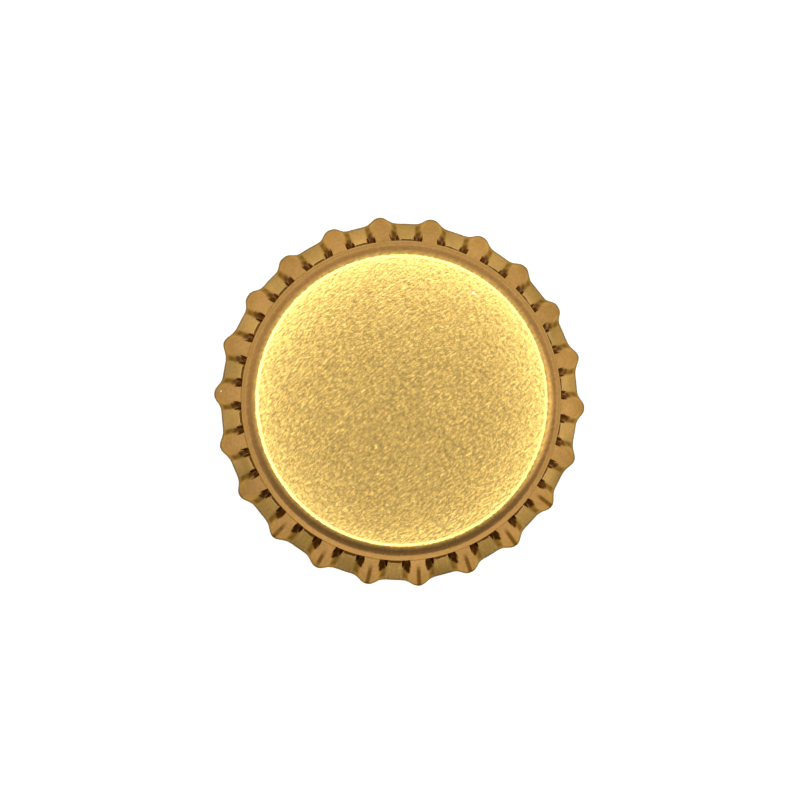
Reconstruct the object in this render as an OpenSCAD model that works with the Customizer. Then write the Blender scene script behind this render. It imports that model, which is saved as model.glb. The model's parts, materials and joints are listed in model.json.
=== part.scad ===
// Crown bottle cap: a fluted shell pressed from one disc of thin sheet, with a moulded
// sealing liner inside it. Millimetres, +Z up. The cut edge of the skirt stands on z = 0
// and the axis of the cap is the Z axis; one flute is centred on +X.

/* [Shell] */
// Overall height, from the cut edge to the top panel
cap_h = 6; // [5.5:0.1:6.6]
// Thickness of the sheet
sheet_t = 0.23; // [0.18:0.01:0.28]
// Radius of the straight inner wall that fits over the mouth of the bottle
mouth_r = 13.375; // [12.8:0.005:14]
// Outer radius of the shoulder between the top panel and the wall
shoulder_r = 1.55; // [1:0.05:1.8]

/* [Skirt] */
// Number of flutes
flutes = 22; // [18:1:24]
// Height of the fluted skirt under the straight wall
skirt_h = 3.75; // [3.2:0.05:4.1]
// Outer radius over the tips of the flutes
tip_r = 16.05; // [15.9:0.01:16.4]
// Outer radius of the cut edge between two flutes
valley_r = 15.45; // [15:0.01:15.6]
// How far the shelf at the top of each panel steps out of the wall
shelf_w = 0.26; // [0.1:0.01:0.35]

/* [Liner] */
// Thickness of the liner under the top panel
web_t = 0.25; // [0.15:0.01:0.5]
// Height of the outer sealing bead, down from the top panel
seal_h = 1; // [0.8:0.05:1.3]
// Radius in section of the outer sealing bead
seal_r = 0.5; // [0.3:0.01:0.6]
// Height of the inner bead, down from the top panel
lip_h = 0.65; // [0.4:0.05:0.8]
// Radius in section of the inner bead
lip_r = 0.3; // [0.2:0.01:0.4]
// Clearance between the liner and the rounded corner of the shell
corner_gap = 0.05; // [0.02:0.01:0.2]

/* [Hidden] */
eps = 0.01;

// Shell section
wall_r = mouth_r + sheet_t;
corner_x = wall_r - shoulder_r;
corner_z = cap_h - shoulder_r;
inside_z = cap_h - sheet_t;

// Skirt: stations across one pitch, as shares of it, and down the skirt, as shares of its height
pitch = 360 / flutes;
pitch_len = pitch * PI / 180 * (wall_r + tip_r) / 2;
half_pitch = [0, 0.065, 0.125, 0.19, 0.265, 0.35, 0.5];
last = len(half_pitch) - 1;
across = concat([for (i = [0 : last]) half_pitch[i]], [for (i = [last - 1 : -1 : 1]) 1 - half_pitch[i]]);
down = [0.015, 0.1, 0.2, 0.32, 0.44, 0.58, 0.78, 1];
columns = flutes * len(across);
// The top of the skirt is let into the wall by this height, and is this much thinner there on each side
root_h = 0.2;
root_inset = 0.05;
skin = 0.005;

// Flute: half width and bluntness of its crest at the top and at the cut edge
crest_w = [0.15, 0.19];
crest_p = [3.5, 2.2];
// Dimple on each side of a flute: where it starts and ends across the pitch and down the skirt
dimple_in = [0.12, 0.19];
dimple_out = [0.27, 0.34];
dimple_end = [0.26, 0.55];
dimple_r = wall_r + 0.03;
// Shelf of a panel, down the skirt
shelf_end = 0.17;
// Rounding where a flute leaves the wall, down the skirt
flute_start = 0.12;
// The sheet's thickness measured level instead of square to its slope, at the top of the skirt and on
// its flare, as a factor, and the share of the skirt's height over which one turns into the other
level_factor = [1.03, 1.16];
level_end = 0.3;
// Rows above this share are the sloping skirt and the first one, inside the wall, is set back by the skin
first_row = 0.05;

// Liner section: how far the outer bead stands out of the flat, and the radii of the two beads' rings
seal_out = 0.3;
seal_x = corner_x + seal_out;
lip_x = seal_x - seal_r - 3 * lip_r;

function mix(a, b, k) = a + (b - a) * k;
function clamp01(x) = min(1, max(0, x));
function ease(a, b, x) = let (k = clamp01((x - a) / (b - a))) k * k * (3 - 2 * k);
// Ramp from 0 to 1 with a rounded start of length a
function ramp(a, x) = (x < a ? x * x / (2 * a) : x - a / 2) / (1 - a / 2);

// Radii of the crest of a flute and of a panel, at share s down the skirt
function crest_at(s) = mix(wall_r, tip_r, ramp(flute_start, s));
function panel_at(s) = wall_r + shelf_w * ease(0, shelf_end, s)
    + (valley_r - wall_r - shelf_w) * ramp(shelf_end, s);
// Share of the crest across the pitch; u is the share of the pitch from the middle of the flute
function crest_share(u, s) = exp(-pow(abs(u) / mix(crest_w[0], crest_w[1], s), mix(crest_p[0], crest_p[1], s)));
function dimple_share(u, s, side) =
    ease(dimple_in[0] - side, dimple_in[1] - side, abs(u))
    * (1 - ease(dimple_out[0] + side, dimple_out[1] + side, abs(u)))
    * (1 - ease(dimple_end[0], dimple_end[1], s));
// Radius of the skirt, at depth t into the sheet; the sides of each feature move by that depth too
function skirt_at(u, s, t) =
    let (side = t / pitch_len,
         near = max(0, abs(u) + side),
         plain = mix(panel_at(s), crest_at(s), crest_share(near, s))
             - t * mix(level_factor[0], level_factor[1], ease(0, level_end, s)))
    mix(plain, dimple_r - t, dimple_share(u, s, side));

function column_angle(i) = (floor(i / len(across)) + across[i % len(across)]) * pitch;
function column_share(i) = let (a = across[i % len(across)]) a > 0.5 ? a - 1 : a;
function ring_point(i, r, z) = [r * cos(column_angle(i)), r * sin(column_angle(i)), z];

// One closed section through the skirt: down the outside, then up the inside
function section(i) = let (u = column_share(i), last_row = len(down) - 1) concat(
    [ring_point(i, wall_r - root_inset, skirt_h + root_h)],
    [for (s = down) ring_point(i, skirt_at(u, s, 0) - (s < first_row ? skin : 0), skirt_h * (1 - s))],
    [for (k = [last_row : -1 : 0]) let (s = down[k])
        ring_point(i, skirt_at(u, s, sheet_t) + (s < first_row ? skin : 0), skirt_h * (1 - s))],
    [ring_point(i, mouth_r + root_inset, skirt_h + root_h)]
);

module skirt() {
    rows = 2 * len(down) + 2;
    points = [for (i = [0 : columns - 1]) each section(i)];
    faces = [
        for (i = [0 : columns - 1])
            for (j = [0 : rows - 1])
                let (a = i * rows + j,
                     b = i * rows + (j + 1) % rows,
                     c = (i + 1) % columns * rows + (j + 1) % rows,
                     d = (i + 1) % columns * rows + j)
                each [[a, c, b], [a, d, c]]
    ];
    polyhedron(points, faces);
}

// Half section of the space under a panel of this shape, from the bottom of the wall up
module crown_half(height, corner, bottom) {
    radius = corner_x + corner;
    translate([0, bottom]) square([corner_x, height - bottom]);
    translate([0, bottom]) square([radius, corner_z - bottom]);
    intersection() {
        translate([corner_x, corner_z]) circle(r = corner, $fn = 96);
        translate([0, bottom]) square([radius, height - bottom]);
    }
}

module crown() {
    rotate_extrude($fn = 180) difference() {
        crown_half(cap_h, shoulder_r, skirt_h);
        crown_half(inside_z, shoulder_r - sheet_t, skirt_h - eps);
    }
}

module shell() {
    color("#c8a050") union() {
        crown();
        skirt();
    }
}

// Section of a bead that hangs from the top panel: straight sides and a round edge
module bead(x, r, h) {
    translate([x, inside_z - h + r]) circle(r = r, $fn = 64);
    translate([x - r, inside_z - h + r]) square([2 * r, h - r]);
}

// The beads stay inside the rounded corner of the shell, less the clearance
module liner() {
    color("#d8d4c4") rotate_extrude($fn = 180) intersection() {
        union() {
            translate([0, inside_z - web_t]) square([seal_x, web_t]);
            bead(seal_x, seal_r, seal_h);
            bead(lip_x, lip_r, lip_h);
        }
        crown_half(inside_z, shoulder_r - sheet_t - corner_gap, inside_z - seal_h - eps);
    }
}

shell();
liner();
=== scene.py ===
"""Looks of a crown bottle cap: a fluted shell of gold lacquered tinplate and its sealing liner."""

import functools
import json
import math
import random

import bmesh
import bpy
from bpy.props import FloatProperty, FloatVectorProperty, IntProperty, PointerProperty
from mathutils import Matrix, Vector


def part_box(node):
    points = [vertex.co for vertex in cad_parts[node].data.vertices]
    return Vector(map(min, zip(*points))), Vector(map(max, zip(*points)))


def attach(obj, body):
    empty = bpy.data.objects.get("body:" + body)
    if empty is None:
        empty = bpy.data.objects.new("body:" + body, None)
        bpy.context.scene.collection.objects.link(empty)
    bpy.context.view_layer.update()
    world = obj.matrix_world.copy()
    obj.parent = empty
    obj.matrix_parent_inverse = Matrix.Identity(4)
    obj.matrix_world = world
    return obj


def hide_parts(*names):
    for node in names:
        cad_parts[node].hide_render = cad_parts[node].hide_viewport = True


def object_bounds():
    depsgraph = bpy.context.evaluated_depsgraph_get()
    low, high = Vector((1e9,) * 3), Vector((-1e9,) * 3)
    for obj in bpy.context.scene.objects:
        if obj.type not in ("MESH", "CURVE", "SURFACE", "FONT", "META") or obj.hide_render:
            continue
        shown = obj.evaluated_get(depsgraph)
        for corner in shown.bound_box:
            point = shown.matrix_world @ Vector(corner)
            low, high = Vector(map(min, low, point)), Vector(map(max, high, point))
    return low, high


bl_info = {
    "name": "Crown cap",
    "version": (1, 0, 0),
    "blender": (4, 5, 0),
    "location": "View3D > Sidebar > Crown cap",
    "description": "Makes a fluted bottle cap with its liner, and a pale stage for it",
    "category": "Add Mesh",
}

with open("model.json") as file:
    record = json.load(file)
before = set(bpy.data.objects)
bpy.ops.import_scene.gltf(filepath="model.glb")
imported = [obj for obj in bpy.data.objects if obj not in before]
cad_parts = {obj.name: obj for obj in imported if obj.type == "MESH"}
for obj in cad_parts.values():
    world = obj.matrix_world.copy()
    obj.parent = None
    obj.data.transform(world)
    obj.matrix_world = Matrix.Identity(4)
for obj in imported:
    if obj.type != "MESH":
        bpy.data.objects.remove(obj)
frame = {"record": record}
CAD_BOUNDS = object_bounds()
SHELL_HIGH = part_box("shell")[1]
LINER_LOW, LINER_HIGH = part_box("liner")
MM = 0.001
MOUTH = next(m for m in frame["record"]["mounts"] if m["name"] == "bottle_mouth")
MOUTH_RADIUS = MOUTH["dims"]["r_mm"] * MM
SEED = 11

# Sections of the skirt, as (share down the skirt, step out of the wall, height), in
# shares of the whole flare and of the skirt's height: through a flute, a panel and a dimple
FLUTE_SECTION = (
    (0, 0, 1), (0.08, 0.01, 0.955), (0.16, 0.05, 0.91), (0.24, 0.11, 0.855), (0.34, 0.19, 0.785),
    (0.46, 0.32, 0.665), (0.62, 0.51, 0.49), (0.8, 0.745, 0.255), (1, 1, 0))
PANEL_SECTION = (
    (0, 0, 1), (0.05, 0.012, 0.97), (0.1, 0.045, 0.935), (0.15, 0.09, 0.908), (0.2, 0.135, 0.882),
    (0.25, 0.175, 0.85), (0.31, 0.205, 0.8), (0.38, 0.245, 0.735), (0.48, 0.33, 0.635),
    (0.62, 0.485, 0.47), (0.8, 0.71, 0.25), (1, 1, 0))
DIMPLE_SECTION = (
    (0, 0, 1), (0.08, -0.012, 0.955), (0.16, -0.02, 0.9), (0.24, -0.02, 0.84), (0.34, -0.01, 0.745),
    (0.44, 0.04, 0.64), (0.5, 0.13, 0.565), (0.57, 0.29, 0.5), (0.66, 0.5, 0.405), (0.8, 0.7, 0.262),
    (1, 1, 0))

# Small wear on the shell, as (x, y, z, radius) in millimetres: chips down to bright tin, and pits, each drawn
# as a ring of painted shade round a painted glint
CHIPS = ((5.66, 9.23, 6.0, 0.12), (-2.5, 11.7, 6.0, 0.09), (12.2, -0.4, 6.0, 0.07),
         (-15.4, 0.3, 0.9, 0.09), (-15.1, 0.45, 1.6, 0.07))
PAINTED_DENTS = ((9.1, -3.5, 6.0, 0.16), (8.2, 8.15, 6.0, 0.13), (-6.3, 4.4, 6.0, 0.12), (11.9, -3.2, 6.0, 0.1))
BARE_TIN = (0.98, 0.93, 0.74, 1.0)
# A painted highlight along the lip of each panel
PANEL_LIP_HIGHLIGHT = (0.66, 0.45, 0.2, 1.0)
EDGE_TINT = (0.88, 0.72, 0.46, 1.0)


def mix(a, b, share):
    return a + (b - a) * share


def ease(a, b, x):
    """0 below a, 1 above b and a smooth step between them."""
    share = min(1.0, max(0.0, (x - a) / (b - a)))
    return share * share * (3 - 2 * share)


@functools.lru_cache(maxsize=None)
def along(section, share):
    """The (out, height) of a section at a share down the skirt, on a smooth curve through its points."""
    last = len(section) - 1
    k = next(i for i in range(last) if share <= section[i + 1][0] or i == last - 1)
    s0, s1 = section[k][0], section[k + 1][0]
    before, after = section[max(k - 1, 0)], section[min(k + 2, last)]
    x = (share - s0) / (s1 - s0)
    result = []
    for axis in (1, 2):
        m0 = (section[k + 1][axis] - before[axis]) / (s1 - before[0]) * (s1 - s0)
        m1 = (after[axis] - section[k][axis]) / (after[0] - s0) * (s1 - s0)
        a, b = section[k][axis], section[k + 1][axis]
        result.append((2 * x**3 - 3 * x**2 + 1) * a + (x**3 - 2 * x**2 + x) * m0
                      + (3 * x**2 - 2 * x**3) * b + (x**3 - x**2) * m1)
    return result


def length(name, description, default):
    """A length that Blender shows in its own units."""
    return FloatProperty(name=name, description=description, default=default,
                         subtype="DISTANCE", unit="LENGTH", precision=5)


def tone_of(name, description, default):
    """A colour setting."""
    return FloatVectorProperty(name=name, description=description, default=default,
                               subtype="COLOR", min=0, max=1)


class ShellSettings(bpy.types.PropertyGroup):
    """Sizes and colours of the pressed shell"""
    height: length("Height", "From the cut edge to the top panel", SHELL_HIGH.z)
    tip_radius: length("Tip radius", "Over the tips of the flutes", SHELL_HIGH.x)
    valley_radius: length("Valley radius", "Cut edge between two flutes", 15.45 * MM)
    mouth_radius: length("Mouth radius", "Straight inner wall over the bottle's lip", MOUTH_RADIUS)
    sheet: length("Sheet", "Thickness of the tinplate", 0.18 * MM)
    shoulder: length("Shoulder", "Outer radius between the top panel and the wall", 1.55 * MM)
    sag: length("Sag", "Fall of the top from its middle to the start of the shoulder", 0.055 * MM)
    skirt: length("Skirt", "Height of the fluted skirt", 3.75 * MM)
    flutes: IntProperty(name="Flutes", description="Number of flutes", default=22, min=12, max=30)
    columns: IntProperty(name="Columns", description="Mesh columns to each flute", default=40, min=12, max=60)
    top_color: tone_of("Top lacquer", "Gold of the flat top", (0.82, 0.545, 0.157))
    # The skirt and panel golds are darker than the top as painted shade, for the dimmer surroundings that the
    # steep shoulder and skirt reflect
    shaded_skirt_color: tone_of("Skirt lacquer", "Deeper gold of the stretched skirt", (0.46, 0.25, 0.082))
    shaded_panel_color: tone_of("Panel lacquer", "Lighter gold between two flutes", (0.45, 0.275, 0.1))
    # The last colour is the painted shade of the pockets, folds, channels, crest lines and pits
    painted_shade_color: tone_of("Pockets", "Deep corners beside each flute", (0.1, 0.034, 0.004))


class LinerSettings(bpy.types.PropertyGroup):
    """Sizes and colour of the moulded liner"""
    radius: length("Radius", "Outer radius of the liner", LINER_HIGH.x)
    web: length("Web", "Thickness under the top panel", 0.25 * MM)
    color: tone_of("Liner", "Milky polymer", (0.74, 0.73, 0.68))


class StageSettings(bpy.types.PropertyGroup):
    """Floor, light and camera"""
    floor: length("Floor", "Side of the floor", 3.0)
    floor_color: tone_of("Floor colour", "Plain pale floor", (0.93, 0.96, 1.0))
    distance: length("Camera distance", "From the floor to the camera", 192 * MM)
    lens: FloatProperty(name="Lens", description="Focal length in millimetres", default=99.75)
    roll: FloatProperty(name="Roll", description="Turn of the camera in degrees", default=2.15)
    strength: FloatProperty(name="Light", description="Strength of the soft light overhead", default=1.0)


class Skirt:
    """The flared and fluted skirt as a function of place, for the outer or the inner face of the sheet."""

    def __init__(self, size):
        self.wall = size.mouth_radius + size.sheet
        self.flutes = size.flutes
        self.sheet = size.sheet
        self.height = size.skirt
        self.flare = {"flute": size.tip_radius - self.wall, "panel": size.valley_radius - self.wall}
        self.pitch = math.tau / size.flutes
        self.side = size.sheet / (self.pitch * (self.wall + size.tip_radius) / 2)
        draw = random.Random(SEED)
        self.wobble = [{"width": draw.uniform(-0.012, 0.012), "turn": draw.uniform(-0.02, 0.02),
                        "out": draw.uniform(-0.03, 0.015), "dimple": draw.uniform(-0.02, 0.02),
                        "power": draw.uniform(-0.2, 0.9),
                        "shelf": draw.uniform(-0.02, 0.02)} for _ in range(size.flutes)]

    def face(self, section, flare, share, depth):
        """Radius and height of one section, moved into the sheet by a share of its thickness."""
        out, height = along(section, share)
        radius, z = self.wall + out * flare, height * self.height
        if depth:
            reach = 0.09  # the slope is taken this share of the skirt to each side
            o0, h0 = along(section, max(0, share - reach))
            o1, h1 = along(section, min(1, share + reach))
            run, fall = (o1 - o0) * flare, (h0 - h1) * self.height
            slant = math.hypot(run, fall)
            radius -= depth * self.sheet * fall / slant
            z -= depth * self.sheet * run / slant * ease(0, 0.15, height) * ease(0, 0.1, share)
        return radius, max(z, 0)

    def point(self, angle, share, depth):
        """Radius and height of a point, and its share of the pitch from the middle of its flute."""
        turn = angle / self.pitch
        flute = round(turn)
        wobble = self.wobble[flute % self.flutes]
        across = abs(turn - flute - wobble["turn"] * ease(0.1, 0.5, share))
        u = across + self.side * depth
        crest_width = (mix(0.155, 0.235, ease(0.25, 0.6, share)) - 0.045 * ease(0.65, 1, share)
                       + wobble["width"] * (1 - ease(0.8, 1, share)))
        crest_power = mix(6.0, 2.2 + wobble["power"], ease(0.65, 0.97, share))
        crest = math.exp(-(u / crest_width) ** crest_power)
        inner, outer = 0.148, mix(0.33, 0.29, ease(0.15, 0.45, share))
        dimple = (ease(inner, inner + 0.05, u) * (1 - ease(outer, outer + 0.05, u - 2 * self.side * depth))
                  * (1 - ease(0.5 + wobble["dimple"], 0.64 + wobble["dimple"], share)))
        shift = 0.06 * (1 - ease(0.3, 0.4, u)) + wobble["shelf"]
        panel_share = max(0, share - shift * ease(0.02, 0.2, share) * (1 - ease(0.3, 0.6, share)))
        panel_share = round(panel_share, 4)  # few enough values for the cache of along() to help
        flare = self.flare["flute"] * (1 + wobble["out"] * 0.4)
        r_flute, z_flute = self.face(FLUTE_SECTION, flare, share, depth)
        r_panel, z_panel = self.face(PANEL_SECTION, self.flare["panel"], panel_share, depth)
        r_dimple, z_dimple = self.face(DIMPLE_SECTION, self.flare["panel"], share, depth)
        radius, z = mix(r_panel, r_flute, crest), mix(z_panel, z_flute, crest)
        return mix(radius, r_dimple, dimple), mix(z, z_dimple, dimple), across


def arc(centre_x, centre_z, radius, start, end, steps):
    """Points (x, z) round an arc, both ends included, from start to end in degrees."""
    angles = [math.radians(mix(start, end, i / steps)) for i in range(steps + 1)]
    return [(centre_x + radius * math.cos(a), centre_z + radius * math.sin(a)) for a in angles]


def spin_profile(bm, points, steps, tags=None):
    """Turns a chain of (x, z) points into a closed surface round Z."""
    layers = {name: bm.verts.layers.float.new(name) for name in (tags or {})}
    verts = [bm.verts.new((x, 0, z)) for x, z in points]
    for name, values in (tags or {}).items():
        for vert, value in zip(verts, values):
            vert[layers[name]] = value
    edges = [bm.edges.new(pair) for pair in zip(verts, verts[1:])]
    bmesh.ops.spin(bm, geom=verts + edges, cent=(0, 0, 0), axis=(0, 0, 1), angle=math.tau,
                   steps=steps, use_merge=True)
    bmesh.ops.remove_doubles(bm, verts=bm.verts, dist=1e-7)
    bmesh.ops.recalc_face_normals(bm, faces=bm.faces)
    return layers


def finished_piece(name, bm, node, material):
    """Makes the object of a piece that stands for a CAD node."""
    mesh = bpy.data.meshes.new(name)
    bm.to_mesh(mesh)
    bm.free()
    mesh.polygons.foreach_set("use_smooth", [True] * len(mesh.polygons))
    mesh.materials.append(material)
    piece = bpy.data.objects.new(name, mesh)
    bpy.context.scene.collection.objects.link(piece)
    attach(piece, "root")
    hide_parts(node)


class Socket:
    """A shader output that can be used in Python sums, which add Math nodes."""

    def __init__(self, graph, output):
        self.graph = graph
        self.output = output

    def math(self, operation, *values, clamp=False):
        return self.graph.node("ShaderNodeMath", {"operation": operation, "use_clamp": clamp},
                               dict(enumerate(values)))

    def __add__(self, other):
        return self.math("ADD", self, other)

    def __sub__(self, other):
        return self.math("SUBTRACT", self, other)

    def __rsub__(self, other):
        return self.math("SUBTRACT", other, self)

    def __mul__(self, other):
        return self.math("MULTIPLY", self, other)

    def __truediv__(self, other):
        return self.math("DIVIDE", self, other)

    def __pow__(self, other):
        return self.math("POWER", self, other)

    __radd__ = __add__
    __rmul__ = __mul__

    def clamped(self):
        return self.math("ADD", self, 0.0, clamp=True)

    def absolute(self):
        return self.math("ABSOLUTE", self)

    def larger(self, other):
        return self.math("MAXIMUM", self, other)

    def within(self, middle, near, far):
        """1 closer than near to the middle, 0 past far."""
        return 1 - (self - middle).absolute().step(near, far)

    def step(self, low, high):
        """0 below low, 1 above high, smooth between them."""
        return self.graph.node("ShaderNodeMapRange", {"interpolation_type": "SMOOTHSTEP"},
                               {0: self, 1: low, 2: high, 3: 0.0, 4: 1.0})


class Graph:
    """Adds nodes to a material or a world."""

    def __init__(self, owner):
        owner.use_nodes = True
        self.tree = owner.node_tree
        self.tree.nodes.clear()

    def node(self, kind, settings=None, inputs=None, output=0):
        """Adds a node, sets its properties first, then its inputs, and gives one of its outputs, if any."""
        made = self.tree.nodes.new(kind)
        for name, value in (settings or {}).items():
            setattr(made, name, value)
        for name, value in (inputs or {}).items():
            if isinstance(value, Socket):
                self.tree.links.new(value.output, made.inputs[name])
            else:
                made.inputs[name].default_value = value
        return Socket(self, made.outputs[output]) if made.outputs else None

    def millimetres(self):
        """Object coordinates in millimetres."""
        place = self.node("ShaderNodeTexCoord", output="Object")
        return self.node("ShaderNodeVectorMath", {"operation": "SCALE"}, {0: place, "Scale": 1 / MM})

    def turned(self, vector, degrees, scale):
        """The vector turned about Z, then stretched."""
        return self.node("ShaderNodeMapping", {"vector_type": "TEXTURE"},
                         {"Vector": vector, "Rotation": (0, 0, math.radians(degrees)),
                          "Scale": tuple(1 / s for s in scale)})

    def noise(self, vector, scale, detail=2.0, roughness=0.5):
        """Noise round 0, about from -1 to 1."""
        value = self.node("ShaderNodeTexNoise", {"noise_dimensions": "3D"},
                          {"Vector": vector, "Scale": scale, "Detail": detail, "Roughness": roughness})
        return (value - 0.5) * 2.0

    def attribute(self, name):
        return self.node("ShaderNodeAttribute", {"attribute_name": name}, output="Fac")

    def parts(self, vector):
        """The x, y and z of a vector."""
        made = self.node("ShaderNodeSeparateXYZ", None, {0: vector})
        outputs = made.output.node.outputs
        return [Socket(self, outputs[i]) for i in range(3)]

    def spot(self, place, x, y, z, radius):
        """1 inside a small ball, 0 outside it."""
        away = self.node("ShaderNodeVectorMath", {"operation": "DISTANCE"}, {0: place, 1: (x, y, z)}, "Value")
        return 1 - away.step(radius * 0.7, radius * 1.2)

    def shaded(self, color, value):
        """The colour times a number."""
        grey = self.node("ShaderNodeCombineColor", None, {0: value, 1: value, 2: value})
        return self.blend(1.0, color, grey, "MULTIPLY")

    def blend(self, share, a, b, mode="MIX"):
        """Mixes two colours."""
        return self.node("ShaderNodeMix", {"data_type": "RGBA", "blend_type": mode},
                         {0: share, 6: a, 7: b}, output=2)

    def bump(self, height, strength, distance):
        inputs = {"Height": height, "Strength": strength, "Distance": distance}
        return self.node("ShaderNodeBump", None, inputs)

    def surface(self, shader, kind="ShaderNodeOutputMaterial"):
        self.node(kind, None, {"Surface": shader})


def rgba(color, factor=1.0):
    return (*(min(1.0, c * factor) for c in color), 1.0)


def gold_lacquer(size):
    """Satin gold lacquer over rolled tinplate, with painted shade on the skirt and in its pockets, folds and
    channels, and painted highlights and glints.
    """
    material = bpy.data.materials.new("gold_lacquer")
    graph = Graph(material)
    place = graph.millimetres()
    _, y, z = graph.parts(place)
    down, across, inside = (graph.attribute(name) for name in ("down", "across", "depth"))

    grain = graph.noise(graph.turned(place, 40, (2.3, 5.6, 3.0)), 1.0, 3.0, 0.65)
    lumps = graph.noise(place, 3.4, 3.0, 0.6)
    clouds = graph.noise(place, 0.22, 2.0, 0.5)
    bands = graph.noise(graph.turned(place, 40, (0.06, 0.7, 0.3)), 1.0, 2.0, 0.5)
    scratches = graph.noise(graph.turned(place, 38, (0.8, 8.0, 3.0)), 1.0, 1.0, 0.5).step(0.38, 0.6)
    glint_flecks = graph.noise(graph.turned(place, 50, (3.4, 5.0, 3.0)), 1.0, 1.0, 0.5).step(0.42, 0.7)
    drawn = graph.node("ShaderNodeCombineXYZ", None, {0: across * 40.0, 1: down * 3.0, 2: z * 0.4})
    streaks = graph.noise(drawn, 1.0, 2.0, 0.5)
    # The -Y side, where the painted shade and painted highlights of the skirt are set differently
    low_side = 1 - y.step(-13.5, -3.5)  # 1 near the -Y edge, 0 towards the middle

    # Shares of the skirt, outside more than inside: the tongue-shaped panel between two flutes, the painted
    # highlight on its lip and the painted shade in the narrow channel over it, and the painted shade in the
    # pockets and on the folds beside each flute
    face = 1 - inside * 0.75
    skirt = down.step(0.0, 0.02) * face
    width = (0.5 - across) / 0.192
    rise = ((0.62 - down) / 0.385).larger(0.0)
    tongue = (width ** 7.0 + rise ** 7.0) ** (1 / 7)
    panel = (1 - tongue.step(0.96, 1.1)) * skirt
    # A painted highlight along the panel's lip, stronger on the -Y side
    lip = tongue.within(1.03, 0.025, 0.075) * (1 - down.step(0.36, 0.5)) * skirt
    # A painted shadow line under the panel's lip, on the -Y side only
    ledge_shadow = down.within(0.325, 0.01, 0.06) * across.step(0.36, 0.4) * low_side
    # Painted shade in the channel between the panel and the shoulder, darker on the -Y side
    groove_shade = across.step(0.28, 0.33) * (1 - (down - low_side * 0.03).step(0.175, 0.205)) * skirt
    neck = 1 - across.step(0.158, 0.19)
    arch = (((across - 0.22).absolute() / (0.122 - down * 0.06)) ** 2.2
            + (down / (0.56 + low_side * 0.07 + clouds * 0.06)) ** 5.0)
    # Painted shade filling the deep hollow beside each flute
    pocket_shade = (1 - neck) * tongue.step(1.05, 1.11) * (1 - arch.step(0.85, 1.1)) * skirt
    # Painted shade on the steep fold between each flute and its panel
    flank_shade = across.within(0.265, 0.02, 0.08) * down.step(0.46, 0.6) * (1 - down.step(0.84, 1.0)) * face
    # Painted shade on the top of the skirt, just below the shoulder
    under = (1 - down.step(0.11, 0.18)) * skirt
    # A broken darker line down the crest of each flute on the -Y side: a painted reflection of shade
    dark_crest_reflection = ((1 - across.step(0.018, 0.06)) * down.step(0.28, 0.6) * low_side.step(0.02, 0.3)
              * (clouds * 3.0 + lumps + 0.9).clamped())
    # Painted shade along the cut edge of the skirt
    edge = down.step(0.93, 0.985)
    # Painted shade on the lower shoulder and wall, lighter towards the -Y side
    rim_shade = (1 - z.step(5.35, 5.6)) * (1 - down.step(0.0, 0.02))
    side = 1 - z.step(5.76, 5.96)

    # The colour of the painted shade in the pockets, folds, channels, crest lines and pits
    painted_shade = rgba(size.painted_shade_color)
    tone = graph.blend(side, rgba(size.top_color), rgba(size.shaded_skirt_color))
    tone = graph.blend(panel, tone, rgba(size.shaded_panel_color))
    tone = graph.blend(lip * (0.7 + low_side * 0.3), tone, PANEL_LIP_HIGHLIGHT)
    tone = graph.blend((flank_shade * 0.8).larger(dark_crest_reflection * 0.85), tone, painted_shade)
    tone = graph.blend((groove_shade * (0.85 + low_side * 0.12)).larger(ledge_shadow * 0.7), tone, painted_shade)
    tone = graph.blend(pocket_shade * (0.92 + low_side * 0.06), tone, painted_shade)

    # Painted shade: below the shoulder, along the cut edge, on the lower shoulder away from -Y, over the
    # skirt more towards its cut edge, and on the -Y panels; clouds and streaks add random tone
    shade = (1 + rim_shade * (low_side * 0.22 - 0.22)) * (1 - under * 0.35) * (1 - edge * 0.5)
    shade = shade * (1 - skirt * 0.12 - down.step(0.35, 0.9) * 0.1) * (1 + skirt * clouds * 0.3)
    shade = shade * (1 + panel * clouds * 0.3) * (1 - panel * low_side * 0.34)
    shade = shade * (1 + panel * streaks * (0.15 + low_side * 0.5))
    # The lighter spots on the top are partly grain and partly painted glints; the scratches are darker wear
    fine = (glint_flecks * 0.4 - scratches * 0.42) * (1 - side)
    rough = (grain + lumps) * (0.52 - side * 0.34) + lumps * side * 0.12
    value = (1.0 + fine + rough + bands * 0.06 + clouds * 0.06) * shade
    color = graph.shaded(tone, value)
    for chip in CHIPS:
        color = graph.blend(graph.spot(place, *chip), color, BARE_TIN)
    # Each pit: a ring of painted shade round a lighter painted glint
    for x_pit, y_pit, z_pit, radius in PAINTED_DENTS:
        color = graph.blend(graph.spot(place, x_pit, y_pit, z_pit, radius) * 0.45, color, painted_shade)
        color = graph.blend(graph.spot(place, x_pit, y_pit, z_pit, radius * 0.6), color,
                            rgba(size.top_color, 1.15))
    normal = graph.bump(grain * 0.7 + lumps * (0.6 + side * 0.9) - scratches * 0.6, 0.44, 0.012 * MM)
    roughness = 0.18 + grain * 0.03 + side * 0.02 + pocket_shade * 0.2
    shader = graph.node("ShaderNodeBsdfPrincipled", None,
                        {"Base Color": color, "Metallic": 1.0, "Roughness": roughness, "Normal": normal,
                         "Specular Tint": EDGE_TINT})
    graph.surface(shader)
    return material


def liner_polymer(size):
    """Milky moulded sealing compound."""
    material = bpy.data.materials.new("liner_polymer")
    graph = Graph(material)
    place = graph.millimetres()
    clouds = graph.noise(place, 0.5, 3.0, 0.5)
    fine = graph.noise(place, 9.0, 2.0, 0.5)
    color = graph.shaded(rgba(size.color), 1.0 + clouds * 0.04 + fine * 0.02)
    normal = graph.bump(fine + clouds, 0.25, 0.02 * MM)
    shader = graph.node("ShaderNodeBsdfPrincipled", None,
                        {"Base Color": color, "Roughness": 0.42 + fine * 0.05, "Normal": normal,
                         "Subsurface Weight": 0.15, "Subsurface Scale": 0.6 * MM})
    graph.surface(shader)
    return material


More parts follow.
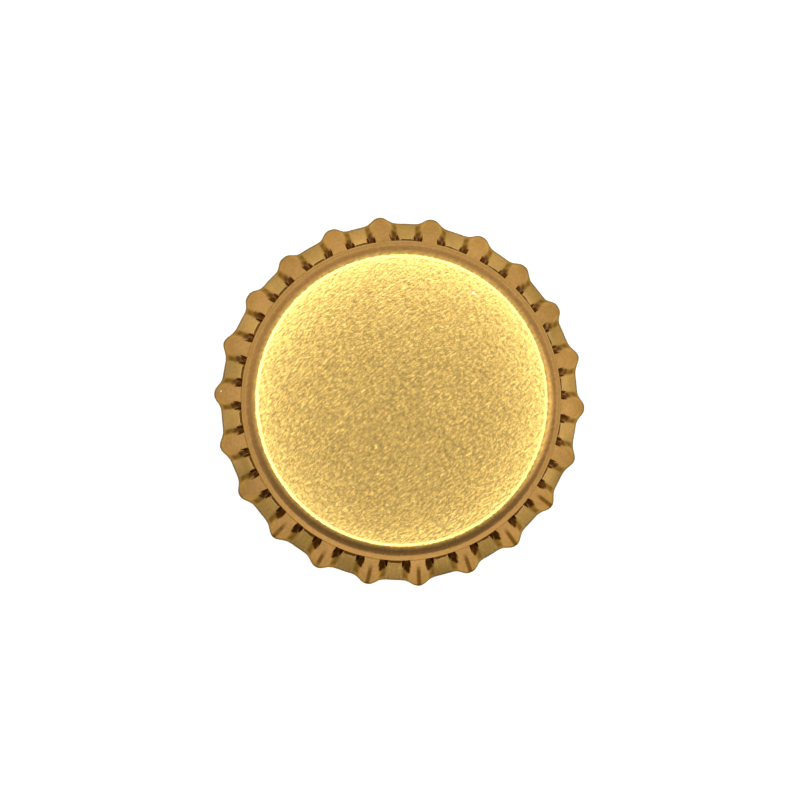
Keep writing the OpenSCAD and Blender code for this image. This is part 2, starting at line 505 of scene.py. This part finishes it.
class CAP_OT_shell(bpy.types.Operator):
    """Make the pressed and fluted shell in place of its CAD node"""
    bl_idname = "crown_cap.shell"
    bl_label = "Pressed shell"

    def execute(self, context):
        size = context.scene.cap_shell
        wall, corner = size.mouth_radius + size.sheet, size.height - size.shoulder
        corner_x = wall - size.shoulder
        top_rows, shoulder_rows, wall_rows, skirt_rows = 10, 14, 3, 38
        outer = [(corner_x * i / top_rows, size.height - size.sag * (i / top_rows) ** 6)
                 for i in range(top_rows)]
        outer += [(x, z - size.sag * (1 - i / shoulder_rows)) for i, (x, z) in
                  enumerate(arc(corner_x, corner, size.shoulder, 90, 0, shoulder_rows))]
        outer += [(wall, mix(corner, size.skirt, (i + 1) / wall_rows)) for i in range(wall_rows)]
        # Each point's share down the skirt, and -1 on the crown; its depth is 0 outside and 1 inside
        shares = [-1.0] * (len(outer) - 1) + [i / skirt_rows for i in range(skirt_rows + 1)]
        outer += [(wall, size.skirt * (1 - i / skirt_rows)) for i in range(1, skirt_rows + 1)]
        depths = [0.0] * len(outer)

        inner_rows = 18
        inner = [(size.mouth_radius, size.skirt * i / inner_rows) for i in range(inner_rows + 1)]
        inner_shares = [1 - i / inner_rows for i in range(inner_rows + 1)]
        inner += arc(corner_x, corner, size.shoulder - size.sheet, 0, 90, 8)
        inner += [(corner_x / 2, size.height - size.sheet), (0, size.height - size.sheet)]
        inner_shares += [-1.0] * (len(inner) - len(inner_shares))
        shares += inner_shares
        depths += [1.0] * len(inner)

        bm = bmesh.new()
        layers = spin_profile(bm, outer + inner, size.flutes * size.columns,
                              {"down": shares, "depth": depths})
        layers["across"] = bm.verts.layers.float.new("across")
        skirt = Skirt(size)
        for vert in bm.verts:
            share, depth = vert[layers["down"]], vert[layers["depth"]]
            if share < 0:
                continue
            angle = math.atan2(vert.co.y, vert.co.x)
            radius, z, vert[layers["across"]] = skirt.point(angle, share, depth)
            vert.co = (radius * math.cos(angle), radius * math.sin(angle), z)
        finished_piece("cap_shell", bm, "shell", gold_lacquer(size))
        return {"FINISHED"}


class CAP_OT_liner(bpy.types.Operator):
    """Make the moulded liner in place of its CAD node"""
    bl_idname = "crown_cap.liner"
    bl_label = "Moulded liner"

    def execute(self, context):
        size = context.scene.cap_liner
        low, high = LINER_LOW.z, LINER_HIGH.z
        web = high - size.web
        seal, lip, corner = 0.5 * MM, 0.3 * MM, 0.45 * MM
        seal_x = size.radius - seal
        lip_x = seal_x - seal - 3 * lip
        lip_low = high - 0.65 * MM
        section = [(0, web), (lip_x * 0.5, web), (lip_x - lip - 0.12 * MM, web)]
        section += arc(lip_x, lip_low + lip, lip, 180, 360, 12)
        section += [(lip_x + lip + 0.08 * MM, web), (seal_x - seal - 0.06 * MM, web)]
        section += arc(seal_x, low + seal, seal, 180, 360, 18)
        section += [(size.radius, high - corner)]
        section += arc(size.radius - corner, high - corner, corner, 15, 90, 5)
        section += [(0, high)]
        bm = bmesh.new()
        spin_profile(bm, section, 256)
        finished_piece("cap_liner", bm, "liner", liner_polymer(size))
        return {"FINISHED"}


def soft_light(world, strength):
    """A wide soft light overhead with a dim middle, and a dim warm horizon."""
    graph = Graph(world)
    direction = graph.node("ShaderNodeTexCoord", output="Generated")
    _, y, z = graph.parts(direction)

    def near(axis, far, close):
        """1 within the close angle of the axis, in degrees, and 0 past the far one."""
        cosine = graph.node("ShaderNodeVectorMath", {"operation": "DOT_PRODUCT"},
                            {0: direction, 1: Vector(axis).normalized()}, output="Value")
        return cosine.step(math.cos(math.radians(far)), math.cos(math.radians(close)))

    window = near((0.75, -0.05, 0.7), 24, 6)
    centre = near((0.03, 0.003, 1.0), 14.2, 5.8)
    lamp = near((0.0, 0.0, 1.0), 21.5, 14)
    horizon = 1 - z.absolute().step(0.2, 0.7)
    high_side = (y * 0.5 + 0.5).step(0.05, 0.65)
    level = 0.22 + horizon * (0.15 + high_side * 0.17) + high_side * (0.28 + z.step(0.3, 0.65) * 0.27)
    level = level + window * 0.7 + lamp * (5.17 - centre * 5.66)
    warm, white = (1.0, 0.93, 0.82, 1.0), (1.0, 1.0, 1.0, 1.0)
    tint = graph.blend(lamp, warm, white)
    background = graph.node("ShaderNodeBackground", None, {"Color": tint, "Strength": level * strength})
    graph.surface(background, "ShaderNodeOutputWorld")


class CAP_OT_stage(bpy.types.Operator):
    """Make the pale floor, the soft light and the camera"""
    bl_idname = "crown_cap.stage"
    bl_label = "Stage"

    def execute(self, context):
        size = context.scene.cap_stage
        bm = bmesh.new()
        bmesh.ops.create_grid(bm, x_segments=1, y_segments=1, size=size.floor / 2)
        bmesh.ops.translate(bm, verts=bm.verts, vec=(0, 0, CAD_BOUNDS[0].z - 0.01 * MM))
        mesh = bpy.data.meshes.new("floor")
        bm.to_mesh(mesh)
        bm.free()
        floor = bpy.data.objects.new("floor", mesh)
        context.scene.collection.objects.link(floor)
        material = bpy.data.materials.new("pale_floor")
        graph = Graph(material)
        graph.surface(graph.node("ShaderNodeBsdfPrincipled", None,
                                 {"Base Color": rgba(size.floor_color), "Roughness": 0.8,
                                  "Emission Color": rgba(size.floor_color), "Emission Strength": 0.37}))
        mesh.materials.append(material)

        world = bpy.data.worlds.new("soft_light")
        context.scene.world = world
        soft_light(world, size.strength)
        context.scene.view_settings.view_transform = "Standard"

        camera = bpy.data.objects.new("camera", bpy.data.cameras.new("camera"))
        camera.data.lens = size.lens
        camera.data.clip_start = 5 * MM
        context.scene.collection.objects.link(camera)
        roll = Matrix.Rotation(math.radians(size.roll), 4, "Z")
        stand = roll @ Vector((-6.56 * MM, -4.06 * MM, size.distance))
        target = roll @ Vector((0.025 * MM, 0.13 * MM, 0))
        back = (stand - target).normalized()
        # The rolled X axis, made square to the line of sight
        right = (roll @ Vector((1, 0, 0))).cross(back).cross(back) * -1
        right.normalize()
        up = back.cross(right)
        camera.matrix_world = Matrix.Translation(stand) @ Matrix((right, up, back)).transposed().to_4x4()
        context.scene.camera = camera
        return {"FINISHED"}


class CAP_PT_panel(bpy.types.Panel):
    """Lists the steps that make the cap"""
    bl_idname = "CAP_PT_panel"
    bl_label = "Crown cap"
    bl_space_type = "VIEW_3D"
    bl_region_type = "UI"
    bl_category = "Crown cap"

    def draw(self, context):
        for operator in OPERATORS:
            self.layout.operator(operator.bl_idname)


OPERATORS = (CAP_OT_stage, CAP_OT_shell, CAP_OT_liner)
CLASSES = (ShellSettings, LinerSettings, StageSettings, *OPERATORS, CAP_PT_panel)
SETTINGS = {"cap_shell": ShellSettings, "cap_liner": LinerSettings, "cap_stage": StageSettings}


def register():
    for cls in CLASSES:
        bpy.utils.register_class(cls)
    for name, group in SETTINGS.items():
        setattr(bpy.types.Scene, name, PointerProperty(type=group))


def unregister():
    for name in SETTINGS:
        delattr(bpy.types.Scene, name)
    for cls in reversed(CLASSES):
        bpy.utils.unregister_class(cls)


def main():
    register()
    bpy.ops.crown_cap.stage()
    bpy.ops.crown_cap.shell()
    bpy.ops.crown_cap.liner()


if __name__ == "__main__":
    main()
